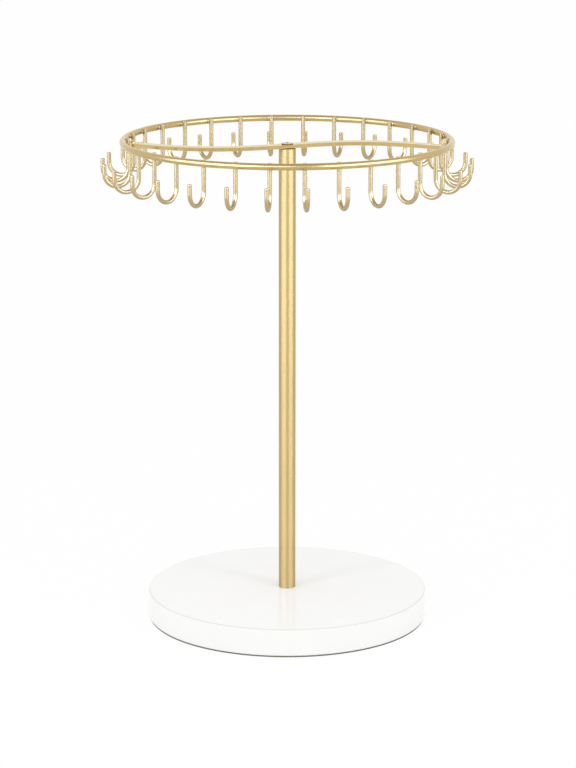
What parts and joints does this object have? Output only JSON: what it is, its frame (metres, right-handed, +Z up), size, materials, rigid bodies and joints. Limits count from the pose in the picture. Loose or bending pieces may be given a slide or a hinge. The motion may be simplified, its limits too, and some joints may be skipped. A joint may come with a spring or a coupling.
{
  "type": "necklace stand",
  "caption": "Turning tabletop necklace stand: a round white stone base, a slim gold post and a wire ring with outward J-hooks on an S-shaped crossbar.",
  "frame": {"origin": "centre of the stand's round underside, on the surface it stands on", "axes": "+Z up along the post and the turning axis; +X to the right and -Y to the front, the side the picture was taken from"},
  "size_m": [0.2618, 0.2602, 0.3481],
  "materials": {
    "satin_gold": "satin champagne-gold plating over steel",
    "white_stone": "polished white, very faint clouding",
    "pad_foam": "matt dark grey non-slip foam",
    "zinc_steel": "bright zinc plating",
    "screw_steel": "bright nickel plating",
    "bush_brass": "turned",
    "washer_bronze": "plain bearing bronze, dulled"
  },
  "bodies": {
    "stand": {"base_slab": "white_stone", "base_pad": "pad_foam", "base_screw": "zinc_steel", "base_washer": "zinc_steel", "spring_washer": "zinc_steel", "post_tube": "satin_gold", "lower_plug": "zinc_steel", "upper_plug": "zinc_steel", "thrust_washer": "washer_bronze", "pivot_bush": "bush_brass", "top_screw": "screw_steel"},
    "ring_frame": {"s_crossbar": "satin_gold", "ring": "satin_gold", "hook_01": "satin_gold", "hook_02": "satin_gold", "hook_03": "satin_gold", "hook_04": "satin_gold", "hook_05": "satin_gold", "hook_06": "satin_gold", "hook_07": "satin_gold", "hook_08": "satin_gold", "hook_09": "satin_gold", "hook_10": "satin_gold", "hook_11": "satin_gold", "hook_12": "satin_gold", "hook_13": "satin_gold", "hook_14": "satin_gold", "hook_15": "satin_gold", "hook_16": "satin_gold", "hook_17": "satin_gold", "hook_18": "satin_gold", "hook_19": "satin_gold", "hook_20": "satin_gold", "hook_21": "satin_gold", "hook_22": "satin_gold", "hook_23": "satin_gold", "hook_24": "satin_gold", "hook_25": "satin_gold", "hook_26": "satin_gold", "hook_27": "satin_gold", "hook_28": "satin_gold", "hook_29": "satin_gold", "hook_30": "satin_gold"}
  },
  "joints": [
    {"name": "ring_spin", "type": "hinge", "parent": "stand", "child": "ring_frame", "pos_m": [0, 0, 0.3412], "axis": [0, 0, 1], "continuous": true}
  ]
}
